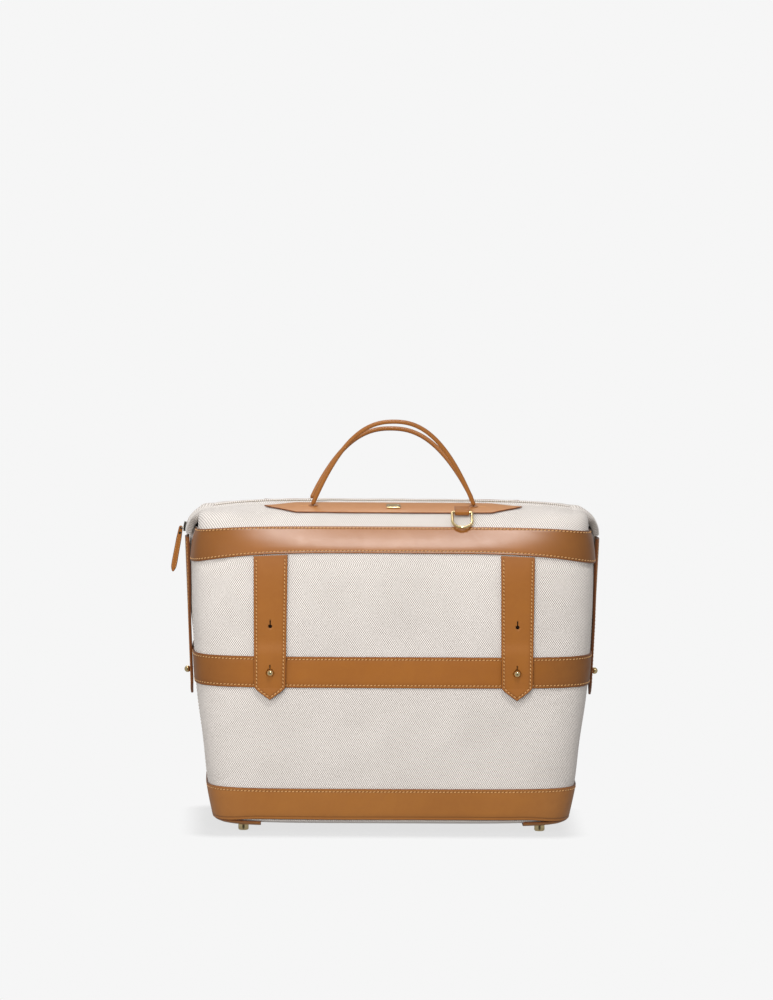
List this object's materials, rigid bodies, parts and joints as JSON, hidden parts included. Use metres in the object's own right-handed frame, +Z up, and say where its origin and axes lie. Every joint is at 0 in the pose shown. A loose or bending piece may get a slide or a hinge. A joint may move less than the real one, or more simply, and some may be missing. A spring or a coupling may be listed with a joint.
{
  "type": "doctor bag",
  "caption": "Structured canvas doctor bag with a zipped domed top, rolled leather handles, leather bands and buttoned straps on ball studs, standing on brass feet",
  "frame": {"origin": "centre of the whole bag on the floor plane under its feet", "axes": "+Z up, +X to the right along the bag's length as seen from the front, front of the bag faces -Y"},
  "size_m": [0.4942, 0.2222, 0.4707],
  "materials": {
    "canvas": "woven cotton canvas",
    "leather": "smooth vegetable tanned",
    "brass": "polished",
    "zip_tape": "woven tape",
    "board": "pressed board"
  },
  "bodies": {
    "case": {"canvas_front_panel": "canvas", "canvas_rear_panel": "canvas", "canvas_left_gusset": "canvas", "canvas_right_gusset": "canvas", "canvas_bottom_panel": "canvas", "canvas_left_end_fold": "canvas", "canvas_right_end_fold": "canvas", "base_board": "board", "base_band_front": "leather", "base_band_rear": "leather", "base_band_left": "leather", "base_band_right": "leather", "belt_front": "leather", "belt_rear": "leather", "belt_left": "leather", "belt_right": "leather", "upper_band_front": "leather", "upper_band_rear": "leather", "corner_patches": "leather", "feet": "brass", "foot_washers": "brass", "front_ball_studs": "brass", "rear_ball_studs": "brass", "side_ball_studs": "brass"},
    "front_top": {"canvas_front_top": "canvas", "zip_tape_front": "zip_tape", "zip_teeth_front": "brass", "front_tab": "leather", "front_plaque": "brass", "d_ring_loop": "leather"},
    "rear_top": {"canvas_rear_top": "canvas", "zip_tape_rear": "zip_tape", "zip_teeth_rear": "brass", "rear_tab": "leather"},
    "front_handle": {"front_handle": "leather"},
    "rear_handle": {"rear_handle": "leather"},
    "d_ring": {"d_ring": "brass"},
    "front_left_strap": {"front_left_strap": "leather"},
    "front_right_strap": {"front_right_strap": "leather"},
    "rear_left_strap": {"rear_left_strap": "leather"},
    "rear_right_strap": {"rear_right_strap": "leather"},
    "left_ear": {"left_ear_canvas": "canvas", "left_ear_zip_tape": "zip_tape", "left_ear_zip_teeth": "brass"},
    "right_ear": {"right_ear_canvas": "canvas", "right_ear_zip_tape": "zip_tape", "right_ear_zip_teeth": "brass"},
    "left_side_strap": {"left_side_strap": "leather"},
    "right_side_strap": {"right_side_strap": "leather"},
    "zip_slider": {"zip_slider": "brass"},
    "zip_puller": {"zip_puller": "leather", "puller_rivet": "brass"}
  },
  "joints": [
    {"name": "front_top_fold", "type": "hinge", "parent": "case", "child": "front_top", "pos_m": [0.008, -0.0775, 0.351], "axis": [1, 0, 0], "range_deg": [0, 78]},
    {"name": "rear_top_fold", "type": "hinge", "parent": "case", "child": "rear_top", "pos_m": [0.008, 0.0775, 0.351], "axis": [-1, 0, 0], "range_deg": [0, 78]},
    {"name": "front_handle_swing", "type": "hinge", "parent": "front_top", "child": "front_handle", "pos_m": [0.008, -0.036, 0.37405], "axis": [-1, 0, 0], "range_deg": [-78, 35]},
    {"name": "rear_handle_swing", "type": "hinge", "parent": "rear_top", "child": "rear_handle", "pos_m": [0.008, 0.036, 0.37405], "axis": [1, 0, 0], "range_deg": [-52, 54]},
    {"name": "d_ring_swing", "type": "hinge", "parent": "front_top", "child": "d_ring", "pos_m": [0.086, -0.0603, 0.3666], "axis": [-1, 0, 0], "range_deg": [0, 110]},
    {"name": "front_left_strap_lift", "type": "hinge", "parent": "case", "child": "front_left_strap", "pos_m": [-0.133, -0.09514, 0.3201], "axis": [-1, 0, 0], "range_deg": [0, 100]},
    {"name": "front_right_strap_lift", "type": "hinge", "parent": "case", "child": "front_right_strap", "pos_m": [0.149, -0.09514, 0.3201], "axis": [-1, 0, 0], "range_deg": [0, 100]},
    {"name": "rear_left_strap_lift", "type": "hinge", "parent": "case", "child": "rear_left_strap", "pos_m": [-0.133, 0.09514, 0.3201], "axis": [1, 0, 0], "range_deg": [0, 100]},
    {"name": "rear_right_strap_lift", "type": "hinge", "parent": "case", "child": "rear_right_strap", "pos_m": [0.149, 0.09514, 0.3201], "axis": [1, 0, 0], "range_deg": [0, 100]},
    {"name": "left_ear_unfold", "type": "hinge", "parent": "case", "child": "left_ear", "pos_m": [-0.2005, 0, 0.3662], "axis": [0, 1, 0], "range_deg": [0, 60]},
    {"name": "right_ear_unfold", "type": "hinge", "parent": "case", "child": "right_ear", "pos_m": [0.2165, 0, 0.3662], "axis": [0, -1, 0], "range_deg": [0, 60]},
    {"name": "left_side_strap_lift", "type": "hinge", "parent": "left_ear", "child": "left_side_strap", "pos_m": [-0.2295, 0, 0.332], "axis": [0, 1, 0], "range_deg": [0, 15]},
    {"name": "right_side_strap_lift", "type": "hinge", "parent": "right_ear", "child": "right_side_strap", "pos_m": [0.2455, 0, 0.332], "axis": [0, -1, 0], "range_deg": [0, 100]},
    {"name": "zip_slider_run", "type": "hinge", "parent": "left_ear", "child": "zip_slider", "pos_m": [-0.202, 0, 0.339], "axis": [0, 1, 0], "range_deg": [0, 72]},
    {"name": "zip_puller_swing", "type": "hinge", "parent": "zip_slider", "child": "zip_puller", "pos_m": [-0.2358, 0, 0.341], "axis": [0, 1, 0], "range_deg": [0, 95]}
  ]
}
